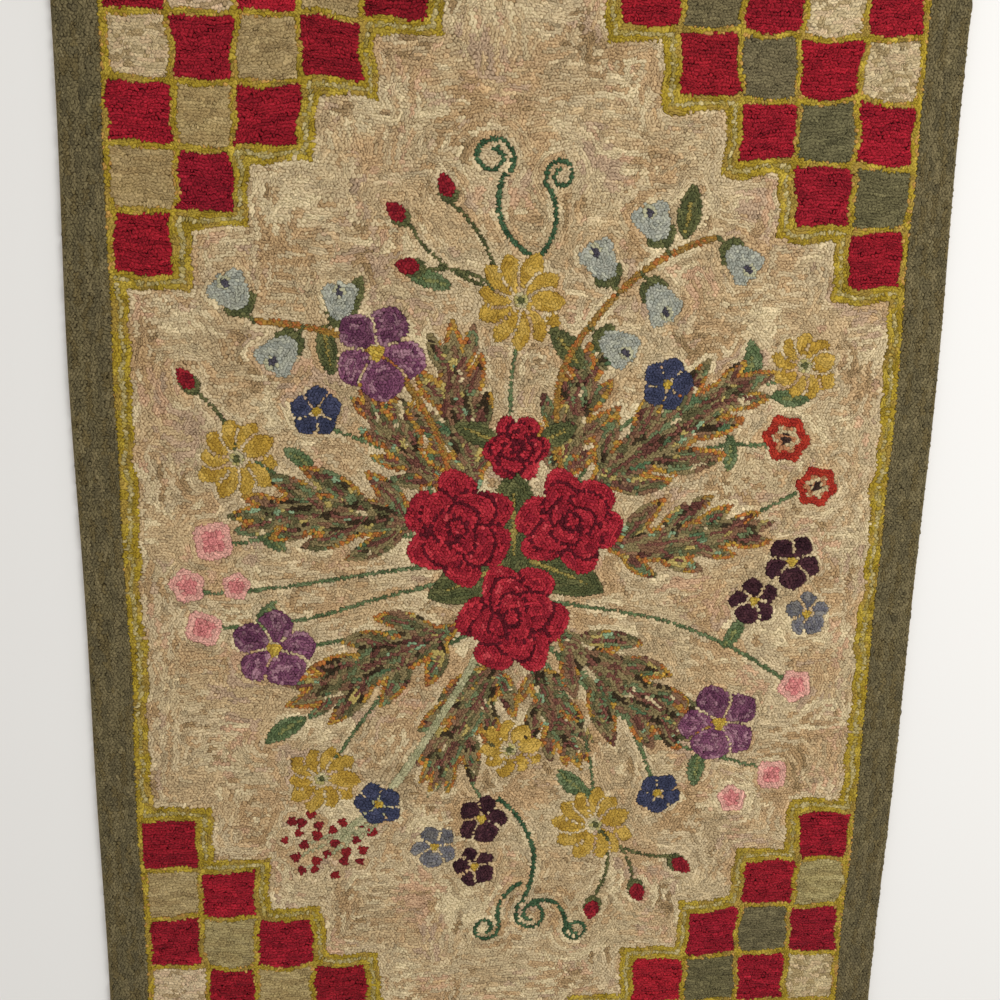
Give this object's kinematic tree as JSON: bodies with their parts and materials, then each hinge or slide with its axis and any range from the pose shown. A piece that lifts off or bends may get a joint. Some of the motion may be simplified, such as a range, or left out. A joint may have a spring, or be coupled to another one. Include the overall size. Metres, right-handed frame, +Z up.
{
  "type": "hooked rug",
  "caption": "Flat rectangular hooked rug of rag loops, with stepped checker corners, a mottled pale field with flowers and leaves, and a plain border.",
  "frame": {"origin": "centre of the rug's flat underside, on the floor", "axes": "+Z up through the pile, +Y along the rug's length, +X across its width"},
  "size_m": [0.9512, 1.5022, 0.0086],
  "materials": {
    "rag_pile": "matt looped wool and cotton rag",
    "foundation": "plain woven jute cloth"
  },
  "bodies": {
    "root": {"rug": "rag_pile"}
  },
  "joints": []
}
